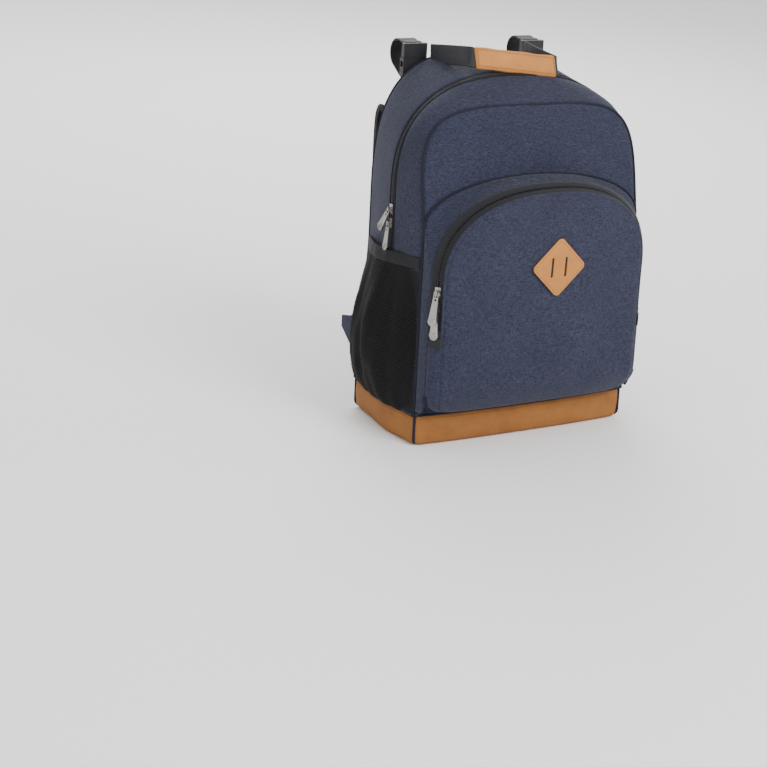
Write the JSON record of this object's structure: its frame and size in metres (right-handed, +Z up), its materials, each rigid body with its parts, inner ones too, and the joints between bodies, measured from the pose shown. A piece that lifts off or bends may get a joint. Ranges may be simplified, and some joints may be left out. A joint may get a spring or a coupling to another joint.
{
  "type": "diaper bag backpack",
  "caption": "Backpack-style diaper bag with an arched zip flap, front pocket, mesh side pockets, carry handle, padded straps and buckled handlebar loops.",
  "frame": {"origin": "centre of the flat underside of the base", "axes": "+Z up, -Y towards the front pocket, +Y towards the wearer's back, +X to the viewer's right from the front"},
  "size_m": [0.3558, 0.2614, 0.4778],
  "materials": {
    "navy_cloth": "heathered plain weave",
    "tan_leather": "soft matt grain with a stitched edge",
    "black_cloth": "plain weave over foam",
    "black_mesh": "open hexagon mesh",
    "black_webbing": "ribbed webbing",
    "black_tape": "fine zip tape",
    "zip_teeth": "moulded coil",
    "pull_metal": "bright nickel plate",
    "black_plastic": "moulded, satin",
    "board": "sheet"
  },
  "bodies": {
    "bag": {"back_panel": "black_cloth", "back_pad": "black_mesh", "rear_gusset": "navy_cloth", "side_panel_left": "navy_cloth", "side_panel_right": "navy_cloth", "front_gusset_left": "navy_cloth", "front_gusset_right": "navy_cloth", "front_panel": "navy_cloth", "base_panel": "tan_leather", "base_board": "board", "inner_pocket": "black_cloth", "main_zip_tape_rear": "black_tape", "main_zip_tape_legs": "black_tape", "main_zip_teeth_rear": "zip_teeth", "main_zip_teeth_legs": "zip_teeth", "pocket_gusset": "navy_cloth", "pocket_panel_lower": "navy_cloth", "pocket_zip_tape_rear": "black_tape", "pocket_zip_teeth_rear": "zip_teeth", "zip_end_tabs": "black_tape", "mesh_pocket_left": "black_mesh", "mesh_pocket_right": "black_mesh", "mesh_hem_left": "black_tape", "mesh_hem_right": "black_tape", "shoulder_strap_left": "black_cloth", "shoulder_strap_right": "black_cloth", "ladder_lock_left": "black_plastic", "ladder_lock_right": "black_plastic", "tail_webbing_left": "black_webbing", "tail_webbing_right": "black_webbing", "wing_tab_left": "navy_cloth", "wing_tab_right": "navy_cloth", "bar_strap_left": "black_webbing", "bar_strap_right": "black_webbing", "socket_tab_left": "black_webbing", "socket_tab_right": "black_webbing", "buckle_socket_left": "black_plastic", "buckle_socket_right": "black_plastic"},
    "top_flap": {"flap_gusset": "navy_cloth", "flap_panel": "navy_cloth", "main_zip_tape_flap": "black_tape", "main_zip_teeth_flap": "zip_teeth"},
    "pocket_flap": {"pocket_panel_flap": "navy_cloth", "pocket_zip_tape_flap": "black_tape", "pocket_zip_teeth_flap": "zip_teeth", "lash_patch": "tan_leather"},
    "handle": {"handle_webbing": "black_webbing", "handle_grip": "tan_leather"},
    "bar_buckle_left": {"prong_webbing_left": "black_webbing", "buckle_prong_left": "black_plastic"},
    "bar_buckle_right": {"prong_webbing_right": "black_webbing", "buckle_prong_right": "black_plastic"},
    "main_slider_upper": {"main_slider_upper": "pull_metal"},
    "main_slider_lower": {"main_slider_lower": "pull_metal"},
    "main_pull_upper": {"main_pull_upper": "pull_metal"},
    "main_pull_lower": {"main_pull_lower": "pull_metal"},
    "pocket_slider_upper": {"pocket_slider_upper": "pull_metal"},
    "pocket_slider_lower": {"pocket_slider_lower": "pull_metal"},
    "pocket_pull_upper": {"pocket_pull_upper": "pull_metal"},
    "pocket_pull_lower": {"pocket_pull_lower": "pull_metal"}
  },
  "joints": [
    {"name": "top_flap_fold", "type": "hinge", "parent": "bag", "child": "top_flap", "pos_m": [0, -0.0742, 0.333], "axis": [1, 0, 0], "range_deg": [0, 55]},
    {"name": "pocket_flap_fold", "type": "hinge", "parent": "bag", "child": "pocket_flap", "pos_m": [0, -0.1208, 0.146], "axis": [1, 0, 0], "range_deg": [0, 45]},
    {"name": "main_slider_upper_run", "type": "slide", "parent": "bag", "child": "main_slider_upper", "axis": [0, 0, 1], "range_m": [0, 0.018]},
    {"name": "main_slider_lower_run", "type": "slide", "parent": "bag", "child": "main_slider_lower", "axis": [0, 0, 1], "range_m": [-0.008, 0]},
    {"name": "pocket_slider_upper_run", "type": "slide", "parent": "bag", "child": "pocket_slider_upper", "axis": [0, 0, 1], "range_m": [0, 0.006]},
    {"name": "pocket_slider_lower_run", "type": "slide", "parent": "bag", "child": "pocket_slider_lower", "axis": [0, 0, 1], "range_m": [-0.02, 0]},
    {"name": "main_pull_upper_swing", "type": "hinge", "parent": "main_slider_upper", "child": "main_pull_upper", "pos_m": [-0.1642, -0.01518, 0.281], "axis": [-0.0363, 0.8653, 0.5], "range_deg": [0, 105]},
    {"name": "main_pull_lower_swing", "type": "hinge", "parent": "main_slider_lower", "child": "main_pull_lower", "pos_m": [-0.1642, -0.01518, 0.264], "axis": [-0.0419, 0.9991, 0], "range_deg": [0, 105]},
    {"name": "pocket_pull_upper_swing", "type": "hinge", "parent": "pocket_slider_upper", "child": "pocket_pull_upper", "pos_m": [-0.14694, -0.11089, 0.202], "axis": [-0.6018, 0.7986, 0], "range_deg": [0, 100]},
    {"name": "pocket_pull_lower_swing", "type": "hinge", "parent": "pocket_slider_lower", "child": "pocket_pull_lower", "pos_m": [-0.14694, -0.11064, 0.184], "axis": [-0.6018, 0.7986, 0], "range_deg": [0, 100]},
    {"name": "handle_lift", "type": "hinge", "parent": "bag", "child": "handle", "pos_m": [0, 0.074, 0.453], "axis": [-1, 0, 0], "range_deg": [0, 95]},
    {"name": "bar_buckle_left_release", "type": "slide", "parent": "bag", "child": "bar_buckle_left", "axis": [0, 0, 1], "range_m": [0, 0.016]},
    {"name": "bar_buckle_right_release", "type": "slide", "parent": "bag", "child": "bar_buckle_right", "axis": [0, 0, 1], "range_m": [0, 0.016]}
  ],
  "couplings": [
    {"joint": "pocket_pull_upper_swing", "follows": "pocket_pull_lower_swing", "ratio": 1}
  ]
}
